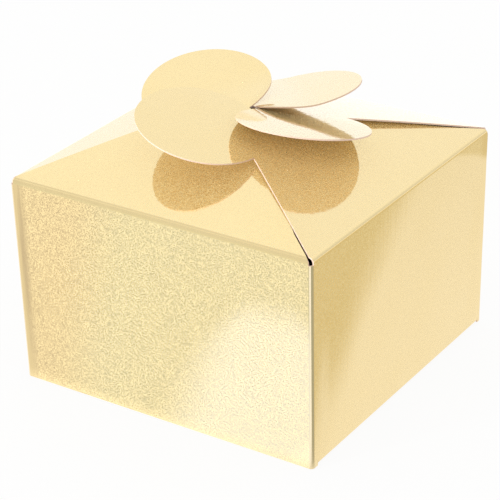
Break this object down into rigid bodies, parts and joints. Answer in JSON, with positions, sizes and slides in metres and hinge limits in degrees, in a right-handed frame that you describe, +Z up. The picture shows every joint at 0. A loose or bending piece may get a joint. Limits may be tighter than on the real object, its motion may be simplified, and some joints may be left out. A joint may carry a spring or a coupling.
{
  "type": "favor box",
  "caption": "Square foil-card favor box closed by top flaps that end in round petals and interlock like a pinwheel, with a tuck-in bottom.",
  "frame": {"origin": "middle of the square base, on the surface that the box stands on", "axes": "+Z up, the front wall faces -Y and the right wall faces +X"},
  "size_m": [0.09, 0.09, 0.0762],
  "materials": {
    "foil_card": "gloss",
    "crease_foil": "satin",
    "white_card": "matte",
    "dried_glue": "matte"
  },
  "bodies": {
    "carton": {"wall_front": "foil_card", "wall_right": "foil_card", "wall_back": "foil_card", "wall_left": "foil_card", "glue_tab": "white_card", "glue_strip": "dried_glue", "corner_crease_front_right": "crease_foil", "corner_crease_front_left": "crease_foil", "corner_crease_back_right": "crease_foil", "corner_crease_back_left": "crease_foil", "top_crease_front": "crease_foil", "top_crease_right": "crease_foil", "top_crease_back": "crease_foil", "top_crease_left": "crease_foil", "bottom_crease": "crease_foil", "dust_crease_right": "crease_foil", "dust_crease_left": "crease_foil"},
    "front_flap": {"petal_flap_front": "foil_card"},
    "right_flap": {"petal_flap_right": "foil_card"},
    "back_flap": {"petal_flap_back": "foil_card"},
    "left_flap": {"petal_flap_left": "foil_card"},
    "bottom": {"bottom_panel": "foil_card", "tongue_crease": "crease_foil"},
    "tongue": {"tuck_tongue": "foil_card"},
    "dust_right": {"dust_flap_right": "foil_card"},
    "dust_left": {"dust_flap_left": "foil_card"}
  },
  "joints": [
    {"name": "front_flap_fold", "type": "hinge", "parent": "carton", "child": "front_flap", "pos_m": [0, -0.04445, 0.058], "axis": [1, 0, 0], "range_deg": [0, 150], "deforming": ["top_crease_front"]},
    {"name": "right_flap_fold", "type": "hinge", "parent": "carton", "child": "right_flap", "pos_m": [0.04445, 0, 0.058], "axis": [0, 1, 0], "range_deg": [0, 150], "deforming": ["top_crease_right"]},
    {"name": "back_flap_fold", "type": "hinge", "parent": "carton", "child": "back_flap", "pos_m": [0, 0.04445, 0.058], "axis": [-1, 0, 0], "range_deg": [0, 150], "deforming": ["top_crease_back"]},
    {"name": "left_flap_fold", "type": "hinge", "parent": "carton", "child": "left_flap", "pos_m": [-0.04445, 0, 0.058], "axis": [0, -1, 0], "range_deg": [0, 150], "deforming": ["top_crease_left"]},
    {"name": "bottom_fold", "type": "hinge", "parent": "carton", "child": "bottom", "pos_m": [0, 0.04457, 0.00043], "axis": [1, 0, 0], "range_deg": [0, 120], "deforming": ["bottom_crease"]},
    {"name": "tongue_fold", "type": "hinge", "parent": "bottom", "child": "tongue", "pos_m": [0, -0.04357, 0.00043], "axis": [-1, 0, 0], "range_deg": [0, 30], "deforming": ["tongue_crease"]},
    {"name": "dust_right_fold", "type": "hinge", "parent": "carton", "child": "dust_right", "pos_m": [0.04457, 0, 0.00093], "axis": [0, -1, 0], "range_deg": [0, 60], "deforming": ["dust_crease_right"]},
    {"name": "dust_left_fold", "type": "hinge", "parent": "carton", "child": "dust_left", "pos_m": [-0.04457, 0, 0.00093], "axis": [0, 1, 0], "range_deg": [0, 60], "deforming": ["dust_crease_left"]}
  ],
  "couplings": [
    {"joint": "right_flap_fold", "follows": "front_flap_fold", "ratio": 1},
    {"joint": "back_flap_fold", "follows": "front_flap_fold", "ratio": 1},
    {"joint": "left_flap_fold", "follows": "front_flap_fold", "ratio": 1},
    {"joint": "tongue_fold", "follows": "bottom_fold", "ratio": 0.25},
    {"joint": "dust_right_fold", "follows": "bottom_fold", "ratio": 0.5},
    {"joint": "dust_left_fold", "follows": "bottom_fold", "ratio": 0.5}
  ]
}
